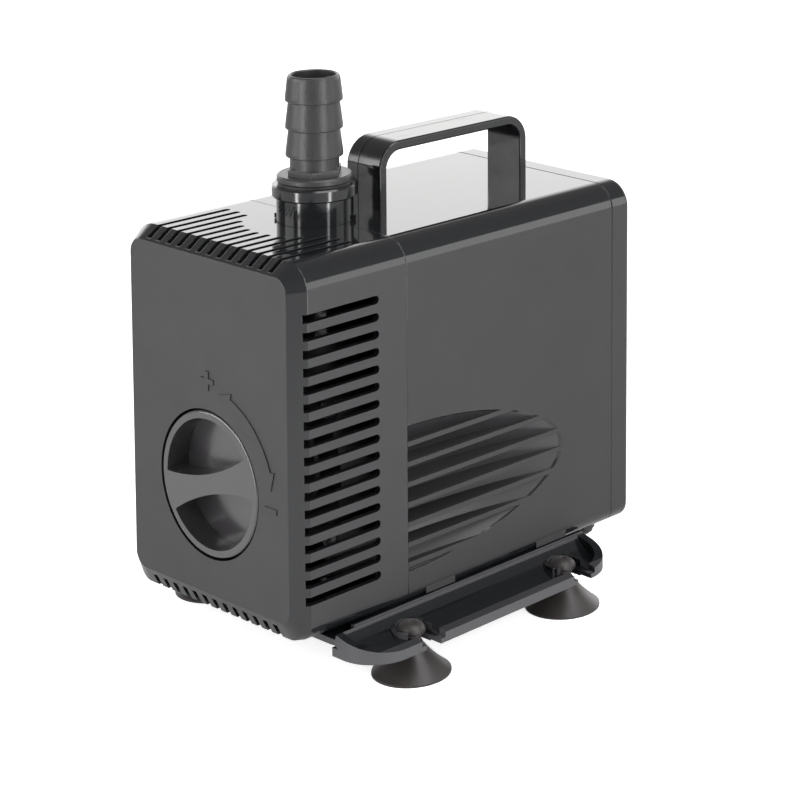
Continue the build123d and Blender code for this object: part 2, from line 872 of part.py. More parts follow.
with BuildPart(mode=Mode.PRIVATE) as potted_core:
    with BuildSketch(upright(core_front_y - potting_gap)) as core_room:
        margin = 2 * potting_gap
        with Locations((0, axis_z)):
            Rectangle(2 * pole_outer_x + margin, 2 * pole_height + margin)
            Circle(well_outer_radius + core_air_gap + potting_gap)
        with Locations((0, (axis_z + yoke_top_z) / 2)):
            Rectangle(2 * leg_outer_x + margin, yoke_top_z - axis_z + margin)
    extrude(core_room.sketch, amount=-(core_depth + margin))
    with BuildSketch(level(bobbin_bottom_z - potting_gap)) as coil_room:
        with leg_places():
            reach = 2 * (bobbin_reach + potting_gap)
            Rectangle(leg_width + reach, core_depth + reach)
    extrude(coil_room.sketch, amount=bobbin_top_z - bobbin_bottom_z + 2 * potting_gap)

with BuildPart() as motor_potting:
    body_slab(wall + potting_gap, bulkhead_back_y + potting_gap, potting_back_y)
    add(potted_core.part, mode=Mode.SUBTRACT)
    tube_along(
        well_outer_radius + potting_gap,
        0,
        bulkhead_front_y,
        well_floor_y + bushing_depth + well_end_wall + potting_gap,
        Mode.SUBTRACT,
    )
    rods_along(
        boss_radius, volute_screw_places, bulkhead_front_y, volute_boss_back_y, Mode.SUBTRACT
    )
    add(scoop_skin_right, mode=Mode.SUBTRACT)
    add(scoop_skin_left, mode=Mode.SUBTRACT)
    for piece in (motor_housing, carry_handle, thermal_cutout, power_cable):
        add(piece.part, mode=Mode.SUBTRACT)

save(motor_potting, "motor_potting")

# ---------------------------------------------------------------- volute and its cover
casing_radius = 38.0
casing_inner_radius = 34.5
casing_front_y = -56.0
casing_back_wall = 3.5
casing_eye_radius = 20.0
ear_radius = 6.0
neck_radius = 14.0
water_radius = 10.5
socket_bottom_z = axis_z + 40.0
socket_floor_z = socket_bottom_z + 1.0
socket_top_z = axis_z + 56.0
socket_radius = 18.0
socket_inner_radius = 15.0
volute_plate = 4.0
volute_front_y = casing_front_y - volute_plate
spigot_length = 2.5
spigot_radius = 34.2
seal_groove_radius = 32.65
seal_front_y = casing_front_y + 0.4
seal_back_y = casing_front_y + 1.8
hub_radius = 8.0
hub_back_y = -52.0
front_bushing_front_y = -57.5
screw_clearance_radius = 1.95
volute_screw_tip_y = volute_boss_back_y - 2.5

with BuildPart() as volute_casing:
    tube_along(casing_radius, 0, casing_front_y, bulkhead_front_y)
    rods_along(ear_radius, volute_screw_places, casing_front_y, bulkhead_front_y)
    with BuildSketch(level(axis_z)):
        with Locations((0, riser_y)):
            Circle(neck_radius)
    extrude(amount=socket_floor_z - axis_z)
    turned_up(
        [
            (0, socket_bottom_z),
            (socket_radius, socket_bottom_z),
            (socket_radius, socket_top_z),
            (socket_inner_radius, socket_top_z),
            (socket_inner_radius, socket_floor_z),
            (0, socket_floor_z),
        ],
        (0, riser_y),
    )
    tube_along(
        casing_inner_radius,
        0,
        casing_front_y - 1,
        bulkhead_front_y - casing_back_wall,
        Mode.SUBTRACT,
    )
    tube_along(casing_eye_radius, 0, casing_front_y, bulkhead_front_y + 1, Mode.SUBTRACT)
    tube_along(
        well_flange_radius + slip_gap,
        0,
        bulkhead_front_y - well_flange_thickness,
        bulkhead_front_y + 1,
        Mode.SUBTRACT,
    )
    with BuildSketch(level(axis_z)):
        with Locations((0, riser_y)):
            Circle(water_radius)
    extrude(amount=socket_top_z - axis_z, mode=Mode.SUBTRACT)
    rods_along(
        screw_clearance_radius,
        volute_screw_places,
        casing_front_y - 1,
        bulkhead_front_y + 1,
        Mode.SUBTRACT,
    )

with BuildPart() as volute_cover:
    tube_along(casing_radius, 0, volute_front_y, casing_front_y)
    rods_along(ear_radius, volute_screw_places, volute_front_y, casing_front_y)
    tube_along(spigot_radius, 0, casing_front_y, casing_front_y + spigot_length)
    tube_along(hub_radius, 0, casing_front_y, hub_back_y)
    tube_along(
        spigot_radius + 1,
        seal_groove_radius,
        seal_front_y - 0.1,
        seal_back_y + 0.1,
        Mode.SUBTRACT,
    )
    cut_ports(0, volute_front_y - 1, casing_front_y + spigot_length + 1)
    tube_along(bushing_radius + press_gap, 0, front_bushing_front_y, hub_back_y + 1, Mode.SUBTRACT)
    rods_along(
        screw_clearance_radius,
        volute_screw_places,
        volute_front_y - 1,
        casing_front_y + 1,
        Mode.SUBTRACT,
    )

with BuildPart() as volute_seal:
    tube_along(
        casing_inner_radius - 2 * press_gap,
        seal_groove_radius + press_gap,
        seal_front_y,
        seal_back_y,
    )

with BuildPart() as volute_screws:
    socket_screws(volute_screw_places, volute_front_y, 1, volute_screw_tip_y - volute_front_y)

save(volute_casing, "volute_casing")
save(volute_cover, "volute_cover")
save(volute_seal, "volute_seal")
save(volute_screws, "volute_screws")

# ---------------------------------------------------------------- shaft, bushings and rotor
bushing_back_y = well_floor_y + bushing_depth
shaft_end_play = 0.2
carrier_front_y = -50.0
carrier_back_y = 43.6
magnet_radius = 15.0
dog_front_y = -35.0
dog_back_y = -28.0
dog_radius = 8.0
dog_angle = 24.0
washer_radius = 4.6
washer_thickness = 1.0
washer_gap = 0.2
impeller_hub_radius = 10.5
impeller_front_y = -51.0
impeller_back_y = -27.5
impeller_radius = 30.0
impeller_disc = 2.0
blade_count = 6
blade_thickness = 2.0
recess_radius = 8.2
recess_front_y = dog_front_y - 0.6


def sector_ridge(inner, outer, middle_angle, y_front, y_back, mode=Mode.ADD):
    """Ring sector as wide as the driving dog, about the rotor's line."""
    half = radians(dog_angle / 2)
    reach = 2 * outer
    corners = [(0, 0)] + [(reach * cos(half), side * reach * sin(half)) for side in (-1, 1)]
    with BuildSketch(upright(y_front)) as sector:
        with Locations((0, axis_z)):
            Circle(outer)
            Circle(inner, mode=Mode.SUBTRACT)
        with Locations(Location((0, axis_z, 0), (0, 0, middle_angle))):
            Polygon(*corners, align=None, mode=Mode.INTERSECT)
    extrude(sector.sketch, amount=-(y_back - y_front), mode=mode)


with BuildPart() as rotor_shaft:
    tube_along(
        shaft_radius, 0, front_bushing_front_y + shaft_end_play, bushing_back_y - shaft_end_play
    )
    chamfer(rotor_shaft.edges().filter_by(GeomType.CIRCLE), 0.4)

with BuildPart() as front_bushing:
    tube_along(bushing_radius, shaft_radius + press_gap, front_bushing_front_y, hub_back_y)

with BuildPart() as rear_bushing:
    tube_along(bushing_radius, shaft_radius + press_gap, well_floor_y, bushing_back_y)

with BuildPart() as rotor_carrier:
    tube_along(bushing_radius, shaft_radius + running_gap, carrier_front_y, carrier_back_y)
    sector_ridge(bushing_radius - 0.5, dog_radius, 90, dog_front_y, dog_back_y)

with BuildPart() as rotor_magnet:
    tube_along(magnet_radius, bushing_radius + press_gap, magnet_front_y, magnet_back_y)
    chamfer(rotor_magnet.edges().filter_by(GeomType.CIRCLE), 0.6)

with BuildPart() as thrust_washers:
    for front in (carrier_front_y - washer_gap - washer_thickness, carrier_back_y + washer_gap):
        tube_along(washer_radius, shaft_radius + running_gap, front, front + washer_thickness)

with BuildPart() as impeller:
    tube_along(impeller_hub_radius, 0, carrier_front_y + 0.4, impeller_back_y)
    tube_along(impeller_radius, 0, impeller_back_y - impeller_disc, impeller_back_y)
    with BuildSketch(upright(impeller_front_y)) as blades:
        with Locations((0, axis_z)):
            with PolarLocations((impeller_hub_radius + impeller_radius) / 2, blade_count):
                Rectangle(impeller_radius - impeller_hub_radius + 1.0, blade_thickness)
            Circle(impeller_radius, mode=Mode.INTERSECT)
    extrude(blades.sketch, amount=-(impeller_back_y - impeller_disc - impeller_front_y))
    tube_along(
        bushing_radius + running_gap, 0, impeller_front_y - 1, impeller_back_y + 1, Mode.SUBTRACT
    )
    tube_along(recess_radius, 0, recess_front_y, impeller_back_y + 1, Mode.SUBTRACT)
    sector_ridge(
        bushing_radius + running_gap, recess_radius + 0.5, 270, recess_front_y, impeller_back_y
    )

save(rotor_shaft, "rotor_shaft")
save(front_bushing, "front_bushing")
save(rear_bushing, "rear_bushing")
save(rotor_carrier, "rotor_carrier")
save(rotor_magnet, "rotor_magnet")
save(thrust_washers, "thrust_washers")
save(impeller, "impeller")

# ---------------------------------------------------------------- outlet riser and hose adapter
collar_radius = 19.6
collar_bottom_z = top_z + 11.6
collar_top_z = top_z + 17.4
collar_break = 0.7
spigot_bottom_z = socket_floor_z + 0.2
spigot_outer_radius = 14.9
oring_radius = 0.74
oring_circle = 14.17
groove_bottom_z = socket_floor_z + 5.5
groove_top_z = socket_floor_z + 8.3
groove_radius = 13.4
thread_radius = 13.25
thread_floor_z = collar_top_z - 9.1
riser_lug_angles = (35, 215)

plug_radius = thread_radius - 0.05
thread_root_radius = 12.4
thread_turns = 5
gasket_top_z = collar_top_z + 0.9
gasket_inner_radius = 13.3
gasket_outer_radius = 16.8
flange_radius = 17.3
flange_top_z = gasket_top_z + 3.5
flange_break = 0.8
hex_corner_radius = 13.2
hex_top_z = flange_top_z + 2.6
barb_neck_radius = 11.2
first_crest_z = top_z + 31.1
barb_top_radius = 11.8
barb_land = 1.4
barb_count = 3
adapter_top_z = top_z + 68.0
lip_radius = 12.1

with BuildPart() as outlet_riser:
    turned_up(
        [
            (water_radius, spigot_bottom_z),
            (spigot_outer_radius, spigot_bottom_z),
            (spigot_outer_radius, groove_bottom_z),
            (groove_radius, groove_bottom_z),
            (groove_radius, groove_top_z),
            (spigot_outer_radius, groove_top_z),
            (spigot_outer_radius, socket_top_z),
            (riser_radius, socket_top_z),
            (riser_radius, collar_bottom_z),
            (collar_radius - collar_break, collar_bottom_z),
            (collar_radius, collar_bottom_z + collar_break),
            (collar_radius, collar_top_z - collar_break),
            (collar_radius - collar_break, collar_top_z),
            (thread_radius, collar_top_z),
            (thread_radius, thread_floor_z),
            (water_radius, thread_floor_z),
        ],
        (0, riser_y),
    )
    # Two small lugs just above the housing's top.
    with BuildSketch(level(top_z + 0.3)):
        with Locations((0, riser_y)):
            for angle in riser_lug_angles:
                with PolarLocations(riser_radius, 1, angle):
                    Rectangle(2.4, 3.2)
            Circle(riser_radius - 1, mode=Mode.SUBTRACT)
    extrude(amount=2.2)

with BuildPart() as riser_oring:
    with Locations((0, riser_y, (groove_bottom_z + groove_top_z) / 2)):
        Torus(oring_circle, oring_radius)

with BuildPart() as outlet_gasket:
    turned_up(
        [
            (gasket_inner_radius, collar_top_z),
            (gasket_outer_radius, collar_top_z),
            (gasket_outer_radius, gasket_top_z),
            (gasket_inner_radius, gasket_top_z),
        ],
        (0, riser_y),
    )

with BuildPart() as hose_adapter:
    thread_bottom_z = thread_floor_z + 0.2
    outline = [(hose_bore_radius, thread_bottom_z)]
    ridge = (gasket_top_z - thread_bottom_z - 1.0) / thread_turns
    for i in range(thread_turns):
        ridge_z = thread_bottom_z + i * ridge
        outline.append((thread_root_radius, ridge_z))
        outline.append((plug_radius, ridge_z + 0.25 * ridge))
        outline.append((plug_radius, ridge_z + 0.6 * ridge))
        outline.append((thread_root_radius, ridge_z + 0.85 * ridge))
    outline += [
        (plug_radius, gasket_top_z - 1.0),
        (plug_radius, gasket_top_z),
        (flange_radius - flange_break, gasket_top_z),
        (flange_radius, gasket_top_z + flange_break),
        (flange_radius, flange_top_z - flange_break),
        (flange_radius - flange_break, flange_top_z),
        (barb_neck_radius, flange_top_z),
    ]
    for i in range(barb_count):
        crest_z = first_crest_z + i * barb_pitch
        foot_radius = barb_neck_radius if i == 0 else barb_top_radius
        next_z = crest_z + barb_pitch if i < barb_count - 1 else adapter_top_z
        outline.append((foot_radius, crest_z - barb_land / 2 - 0.4))
        outline.append((barb_crest_radius - 0.4, crest_z - barb_land / 2 - 0.3))
        outline.append((barb_crest_radius, crest_z - barb_land / 2))
        outline.append((barb_crest_radius, crest_z + barb_land / 2))
        if next_z < adapter_top_z:
            outline.append((barb_top_radius, next_z - barb_land / 2 - 1.0))
    outline += [
        (lip_radius, adapter_top_z - 1.6),
        (lip_radius - 0.4, adapter_top_z - 0.5),
        (lip_radius - 1.1, adapter_top_z),
        (hose_bore_radius + 0.5, adapter_top_z),
        (hose_bore_radius, adapter_top_z - 0.5),
    ]
    turned_up(outline, (0, riser_y))
    with BuildSketch(level(flange_top_z)):
        with Locations((0, riser_y)):
            RegularPolygon(hex_corner_radius, 6, rotation=15)
            Circle(hose_bore_radius, mode=Mode.SUBTRACT)
    extrude(amount=hex_top_z - flange_top_z)

save(outlet_riser, "outlet_riser")
save(riser_oring, "riser_oring")
save(outlet_gasket, "outlet_gasket")
save(hose_adapter, "hose_adapter")

# ---------------------------------------------------------------- base plate
base_front_y = -84.0
base_back_y = 72.5
base_half_width = 86.0
base_corner = 19.5
deck_back_y = 66.0
deck_notch_half = 58.2
rail_x = (58.9, 61.0)
rail_front_y = -73.0
rail_top_z = 27.2
rim_width = 4.0
rim_height = 1.6
skirt_top_z = 19.9
base_travel = 18.0
pocket_floor = 1.2
pocket_wall = 1.6
cup_x = 71.0
cup_y = 48.3
cup_well_radius = 7.3
cup_ring_radius = 9.0
cup_well_floor_z = 18.0
cup_boss_bottom_z = 15.2
cup_ring_top_z = 21.8
cup_neck_radius = 4.3
cup_gate_width = 14.0
flange_floor = [(61.6, 24.6), (64.0, 22.0), (68.0, 20.1), (74.0, 19.0), (80.0, 18.6), (87.0, 18.6)]
flange_under = [(87.0, 15.8), (76.0, 16.0), (70.0, 16.9), (64.5, 19.0), (60.6, 21.2)]

cup_places = [(side * cup_x, end * cup_y) for side in (1, -1) for end in (1, -1)]


def flange_section(side, rise):
    """Section of one side flange of the base, with a straight upper line above the dish."""
    upper = [(side * x, z + rise) for x, z in (flange_floor[0], flange_floor[-1])]
    under = [(side * x, z) for x, z in flange_under]
    with BuildSketch(mode=Mode.PRIVATE) as section:
        with BuildLine():
            Line((side * 57.6, deck_bottom_z), (side * 57.6, deck_top_z))
            Line((side * 57.6, deck_top_z), (side * rail_x[1], deck_top_z))
            Line((side * rail_x[1], deck_top_z), upper[0])
            Line(*upper)
            Line(upper[-1], under[0])
            Spline(*under)
            Line(under[-1], (side * 57.6, deck_bottom_z))
        make_face()
    return section.sketch


with BuildPart(mode=Mode.PRIVATE) as dish:
    for side in (1, -1):
        with BuildSketch(upright(base_front_y + rim_width)) as floor_room:
            with BuildLine():
                lower = [(side * x, z) for x, z in flange_floor]
                Spline(*lower)
                Polyline(lower[-1], (lower[-1][0], rail_top_z), (lower[0][0], rail_top_z), lower[0])
            make_face()
        extrude(floor_room.sketch, amount=-(base_back_y - base_front_y - 2 * rim_width))
    with BuildSketch(level(0)) as inside:
        with Locations((0, (base_front_y + base_back_y) / 2)):
            RectangleRounded(
                2 * (base_half_width - rim_width),
                base_back_y - base_front_y - 2 * rim_width,
                base_corner - rim_width,
            )
    extrude(inside.sketch, amount=top_z, mode=Mode.INTERSECT)

with BuildPart() as base_plate:
    block((-58, 58), (base_front_y, base_back_y), (deck_bottom_z, deck_top_z))
    # Pockets under the deck that hold the lugs' hooked feet.
    for y_span in lug_spans:
        pocket_x = (
            lug_foot_x[0] - slip_gap - pocket_wall,
            lug_foot_x[1] + slip_gap + pocket_wall,
        )
        pocket_y = (y_span[0] - 1.0 - pocket_wall, y_span[1] + base_travel + 1.0 + pocket_wall)
        for side in (1, -1):
            block(
                sorted((side * pocket_x[0], side * pocket_x[1])),
                (pocket_y[0], min(pocket_y[1], deck_back_y)),
                (lug_foot_z - slip_gap - pocket_floor, deck_bottom_z + 0.2),
            )
    for side in (1, -1):
        with BuildSketch(upright(base_front_y)):
            add(flange_section(side, rim_height))
        extrude(amount=-(base_back_y - base_front_y))
    with BuildSketch(level(0)):
        with Locations((0, (base_front_y + base_back_y) / 2)):
            RectangleRounded(2 * base_half_width, base_back_y - base_front_y, base_corner)
    extrude(amount=top_z, mode=Mode.INTERSECT)
    add(dish.part, mode=Mode.SUBTRACT)
    # Skirt below the rim at both ends of each flange.
    with BuildSketch(level(flange_under[0][1])):
        with Locations((0, (base_front_y + base_back_y) / 2)):
            RectangleRounded(2 * base_half_width, base_back_y - base_front_y, base_corner)
            RectangleRounded(
                2 * (base_half_width - rim_width),
                base_back_y - base_front_y - 2 * rim_width,
                base_corner - rim_width,
                mode=Mode.SUBTRACT,
            )
        with Locations((0, (base_front_y + base_back_y) / 2)):
            Rectangle(2 * rail_x[0], base_back_y - base_front_y + 2, mode=Mode.SUBTRACT)
    extrude(amount=skirt_top_z - flange_under[0][1])
    # Raised rails beside the housing and the cups' bosses.
    for side in (1, -1):
        block(
            sorted((side * rail_x[0], side * rail_x[1])),
            (rail_front_y, base_back_y),
            (deck_bottom_z, rail_top_z),
        )
    with BuildSketch(level(cup_boss_bottom_z)):
        with Locations(*cup_places):
            Circle(cup_ring_radius)
    extrude(amount=cup_ring_top_z - cup_boss_bottom_z)
    with BuildSketch(level(cup_well_floor_z)):
        with Locations(*cup_places):
            Circle(cup_well_radius)
        for x, y in cup_places:
            outer = base_half_width + 1 if x > 0 else -base_half_width - 1
            with Locations(((x + outer) / 2, y)):
                Rectangle(abs(outer - x), cup_gate_width)
    extrude(amount=top_z - cup_well_floor_z, mode=Mode.SUBTRACT)
    with BuildSketch(level(0)):
        with Locations(*cup_places):
            Circle(cup_neck_radius + running_gap)
        for x, y in cup_places:
            outer = base_half_width + 1 if x > 0 else -base_half_width - 1
            with Locations(((x + outer) / 2, y)):
                Rectangle(abs(outer - x), 2 * (cup_neck_radius + running_gap))
    extrude(amount=top_z, mode=Mode.SUBTRACT)
    # Slots for the housing's hooked lugs, each with an entry window at its back.
    for y_span in lug_spans:
        for side in (1, -1):
            reach = slip_gap
            stem_x = sorted((side * (lug_stem_x[0] - reach), side * (lug_stem_x[1] + reach)))
            foot_x = sorted((side * (lug_foot_x[0] - reach), side * (lug_foot_x[1] + reach)))
            deck_z = (deck_bottom_z - 1, deck_top_z + 0.5)
            block(
                stem_x,
                (y_span[0] - reach, y_span[1] + base_travel + reach),
                deck_z,
                mode=Mode.SUBTRACT,
            )
            block(
                foot_x,
                (y_span[0] + base_travel - reach, y_span[1] + base_travel + reach),
                deck_z,
                mode=Mode.SUBTRACT,
            )
            block(
                foot_x,
                (y_span[0] - reach, y_span[1] + base_travel + reach),
                (lug_foot_z - slip_gap, deck_bottom_z),
                mode=Mode.SUBTRACT,
            )
    # Notch behind the deck, between the two flanges.
    block(
        (-deck_notch_half, deck_notch_half),
        (deck_back_y, base_back_y + 1),
        (0, top_z),
        mode=Mode.SUBTRACT,
    )

save(base_plate, "base_plate")

# ---------------------------------------------------------------- suction cups
cup_rim_radius = 18.0
cup_rim_thickness = 0.9
cup_lip_width = 1.4
cup_hollow_z = 6.0
cup_shoulder_z = 14.6
cup_head_bottom_z = 18.1
cup_head_radius = 6.4
cup_head_top_z = 23.6


def suction_cup(place):
    """Soft cup whose neck swivels in the base plate and whose head sits above it."""
    x, y = place
    with BuildPart(mode=Mode.PRIVATE) as cup:
        with BuildSketch(upright(y)) as profile:
            with BuildLine():
                Line((x, cup_hollow_z), (x + 2.0, cup_hollow_z))
                Spline(
                    (x + 2.0, cup_hollow_z), (x + 9.5, 4.0), (x + cup_rim_radius - cup_lip_width, 0)
                )
                Polyline(
                    (x + cup_rim_radius - cup_lip_width, 0),
                    (x + cup_rim_radius, 0),
                    (x + cup_rim_radius, cup_rim_thickness),
                )
                Spline(
                    (x + cup_rim_radius, cup_rim_thickness),
                    (x + 10.6, 7.4),
                    (x + 5.2, cup_shoulder_z - 0.7),
                )
                Polyline(
                    (x + 5.2, cup_shoulder_z - 0.7),
                    (x + 4.9, cup_shoulder_z),
                    (x + cup_neck_radius, cup_shoulder_z),
                    (x + cup_neck_radius, cup_head_bottom_z),
                    (x + cup_head_radius - 1.0, cup_head_bottom_z),
                )
                Spline(
                    (x + cup_head_radius - 1.0, cup_head_bottom_z),
                    (x + cup_head_radius, 19.6),
                    (x + 5.6, 21.7),
                    (x + 3.7, 23.1),
                    (x + 1.6, cup_head_top_z),
                )
                Polyline(
                    (x + 1.6, cup_head_top_z),
                    (x + 1.1, cup_head_top_z - 1.2),
                    (x, cup_head_top_z - 1.2),
                    (x, cup_hollow_z),
                )
            make_face()
        revolve(profile.sketch, axis=Axis((x, y, 0), (0, 0, 1)))
    return cup.part


for (side_x, side_y), name in zip(
    cup_places,
    (
        "suction_cup_rear_right",
        "suction_cup_front_right",
        "suction_cup_rear_left",
        "suction_cup_front_left",
    ),
):
    with BuildPart() as cup_piece:
        add(suction_cup((side_x, side_y)))
    save(cup_piece, name)
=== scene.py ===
import math

import bpy
from mathutils import Matrix, Vector

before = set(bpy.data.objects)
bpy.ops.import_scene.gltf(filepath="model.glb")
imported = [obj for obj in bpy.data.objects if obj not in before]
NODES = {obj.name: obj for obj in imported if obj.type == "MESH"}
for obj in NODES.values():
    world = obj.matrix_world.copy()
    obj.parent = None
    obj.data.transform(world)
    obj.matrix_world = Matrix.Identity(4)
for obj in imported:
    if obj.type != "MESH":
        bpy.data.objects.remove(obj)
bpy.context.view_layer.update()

MM = 0.001

# Places in the CAD frame, in metres.
FLANK_LIMIT = 59.6 * MM
END_LIMIT = 102.8 * MM
SCOOP_ACROSS = (45.0 * MM, 59.4 * MM)
SCOOP_ALONG = (9.0 * MM, 51.0 * MM)
SCOOP_HEIGHT = (75.5 * MM, 34.0 * MM)
RIM_LIMIT = 81.8 * MM
RISER_Y = -41.6 * MM

POLISHED_INDEX = 1.54
SATIN_INDEX = 1.4
SCOOP_ROUGHNESS = 0.3


# ---------------------------------------------------------------- node helpers
class Shader:
    """Short way to build a node tree: every call adds a node and returns its first output."""

    def __init__(self, name):
        self.material = bpy.data.materials.new(name)
        self.material.use_nodes = True
        self.tree = self.material.node_tree
        self.tree.nodes.clear()
        self.coords = self.tree.nodes.new("ShaderNodeTexCoord")
        self.place = self.coords.outputs["Object"]
        self.surface_normal = self.coords.outputs["Normal"]

    def put(self, socket, value):
        """Link an output to a socket, or set the socket's value."""
        if isinstance(value, bpy.types.NodeSocket):
            self.tree.links.new(value, socket)
        else:
            socket.default_value = value

    def math(self, operation, *values, clamp=False):
        node = self.tree.nodes.new("ShaderNodeMath")
        node.operation = operation
        node.use_clamp = clamp
        for socket, value in zip(node.inputs, values):
            self.put(socket, value)
        return node.outputs[0]

    def vector(self, operation, *values):
        node = self.tree.nodes.new("ShaderNodeVectorMath")
        node.operation = operation
        for socket, value in zip(node.inputs, values):
            self.put(socket, value)
        return node.outputs["Value"] if operation in ("DOT_PRODUCT", "LENGTH") else node.outputs[0]

    def split(self, vector):
        node = self.tree.nodes.new("ShaderNodeSeparateXYZ")
        self.put(node.inputs[0], vector)
        return node.outputs

    def stretch(self, vector, scale):
        node = self.tree.nodes.new("ShaderNodeMapping")
        self.put(node.inputs["Vector"], vector)
        node.inputs["Scale"].default_value = scale
        return node.outputs[0]

    def noise(self, scale, detail=2.0, roughness=0.5, place=None):
        node = self.tree.nodes.new("ShaderNodeTexNoise")
        self.put(node.inputs["Vector"], place or self.place)
        node.inputs["Scale"].default_value = scale
        node.inputs["Detail"].default_value = detail
        node.inputs["Roughness"].default_value = roughness
        return node.outputs["Fac"]

    def cells(self, scale, place=None):
        node = self.tree.nodes.new("ShaderNodeTexVoronoi")
        self.put(node.inputs["Vector"], place or self.place)
        node.inputs["Scale"].default_value = scale
        return node.outputs["Distance"]

    def spread(self, value, low, high, new_low, new_high, smooth=False):
        node = self.tree.nodes.new("ShaderNodeMapRange")
        node.interpolation_type = "SMOOTHSTEP" if smooth else "LINEAR"
        for socket, item in zip(node.inputs, (value, low, high, new_low, new_high)):
            self.put(socket, item)
        return node.outputs[0]

    def mix(self, factor, first, second):
        """Blend two colours."""
        node = self.tree.nodes.new("ShaderNodeMix")
        node.data_type = "RGBA"
        self.put(node.inputs["Factor"], factor)
        self.put(node.inputs[6], rgba(first) if isinstance(first, tuple) else first)
        self.put(node.inputs[7], rgba(second) if isinstance(second, tuple) else second)
        return node.outputs[2]

    def blend(self, factor, first, second):
        """Blend two numbers."""
        node = self.tree.nodes.new("ShaderNodeMix")
        self.put(node.inputs["Factor"], factor)
        self.put(node.inputs[2], first)
        self.put(node.inputs[3], second)
        return node.outputs[0]

    def bump(self, height, distance, strength=1.0, normal=None):
        node = self.tree.nodes.new("ShaderNodeBump")
        node.inputs["Strength"].default_value = strength
        node.inputs["Distance"].default_value = distance
        self.put(node.inputs["Height"], height)
        if normal is not None:
            self.put(node.inputs["Normal"], normal)
        return node.outputs[0]

    def round_normal(self, radius):
        node = self.tree.nodes.new("ShaderNodeBevel")
        node.samples = 4
        node.inputs["Radius"].default_value = radius
        return node.outputs[0]

    def edge_wear(self, rounded):
        """Mask that is 1 on sharp edges, broken up by noise."""
        geometry = self.tree.nodes.new("ShaderNodeNewGeometry")
        facing = self.vector("DOT_PRODUCT", rounded, geometry.outputs["Normal"])
        edge = self.spread(facing, 0.995, 0.86, 0.0, 1.0)
        patchy = self.spread(self.noise(420, 3.0), 0.38, 0.66, 0.25, 1.0)
        return self.math("MULTIPLY", edge, patchy)

    def finish(self, **inputs):
        """Principled surface with the given inputs."""
        surface = self.tree.nodes.new("ShaderNodeBsdfPrincipled")
        for name, value in inputs.items():
            socket = surface.inputs[name.replace("_", " ")]
            self.put(socket, rgba(value) if isinstance(value, tuple) and len(value) == 3
                     and socket.type == "RGBA" else value)
        output = self.tree.nodes.new("ShaderNodeOutputMaterial")
        self.tree.links.new(surface.outputs[0], output.inputs["Surface"])
        return self.material


def rgba(colour):
    """Colour with full alpha."""
    return (*colour[:3], 1.0)


def scaled(colour, factor):
    """Colour made lighter or darker."""
    return tuple(channel * factor for channel in colour)


# ---------------------------------------------------------------- materials
def outer_flats(s, half_width, half_length):
    """Mask that is 1 on the flat outer faces of the flanks and of the two ends."""
    normal = s.split(s.surface_normal)
    place = s.split(s.place)
    parts = []
    for axis, limit in ((0, half_width), (1, half_length)):
        facing = s.spread(s.math("ABSOLUTE", normal[axis]), 0.982, 0.994, 0.0, 1.0, smooth=True)
        outside = s.math("GREATER_THAN", s.math("ABSOLUTE", place[axis]), limit)
        parts.append(s.math("MULTIPLY", facing, outside))
    return s.math("MAXIMUM", *parts)


def scoop_walls(s):
    """Mask that is 1 on the walls of the two side scoops, inside the flanks."""
    across, along, height = s.split(s.place)
    across = s.math("ABSOLUTE", across)
    parts = [
        s.math("GREATER_THAN", across, SCOOP_ACROSS[0]),
        s.math("LESS_THAN", across, SCOOP_ACROSS[1]),
        s.math("COMPARE", along, *SCOOP_ALONG),
        s.math("COMPARE", height, *SCOOP_HEIGHT),
    ]
    mask = parts[0]
    for part in parts[1:]:
        mask = s.math("MULTIPLY", mask, part)
    return mask


def body_plastic(name, colour):
    """Housing plastic: polished black; outer flats satin and painted flat grey for their lit look,
    scoops half gloss and painted lighter grey for the light they catch.
    """
    s = Shader(name)
    satin_and_painted_light = outer_flats(s, FLANK_LIMIT, END_LIMIT)
    rounded = s.round_normal(0.4 * MM)
    wear = s.edge_wear(rounded)
    cloud = s.noise(26, 3.0)
    speckle = s.noise(2600, 2.0)
    tint = s.math(
        "ADD", s.spread(cloud, 0.3, 0.7, 0.96, 1.03), s.spread(speckle, 0.35, 0.65, -0.02, 0.02)
    )
    base = s.vector("SCALE", colour)
    s.put(base.node.inputs["Scale"], tint)
    scoop = scoop_walls(s)
    # Outer flats get the painted flat grey that stands in for their lit look; the rest stays
    # polished black.
    base = s.mix(satin_and_painted_light, POLISHED_BLACK, base)
    # Scoop walls painted a lighter grey, standing in for the light they catch from above.
    base = s.mix(scoop, base, SCOOP_PAINTED_LIGHT_GREY)
    colour_out = s.mix(s.math("MULTIPLY", wear, 0.3), base, scaled(colour, 1.8))
    smudge = s.noise(38, 4.0, 0.6)
    dull = s.spread(smudge, 0.3, 0.7, 0.56, 0.64)
    shine = s.spread(smudge, 0.35, 0.7, 0.05, 0.10)
    rough = s.blend(scoop, s.blend(satin_and_painted_light, shine, dull), SCOOP_ROUGHNESS)
    rough = s.math("ADD", rough, s.math("MULTIPLY", wear, 0.10), clamp=True)
    grain = s.math("ADD", speckle, s.math("MULTIPLY", s.noise(900, 2.0), 0.6))
    normal = s.bump(s.math("MULTIPLY", grain, satin_and_painted_light), 0.03 * MM, 0.8, rounded)
    normal = s.bump(s.noise(95, 1.0), 0.012 * MM, 0.6, normal)
    index = s.blend(satin_and_painted_light, POLISHED_INDEX, SATIN_INDEX)
    return s.finish(Base_Color=colour_out, Roughness=rough, Normal=normal, IOR=index)


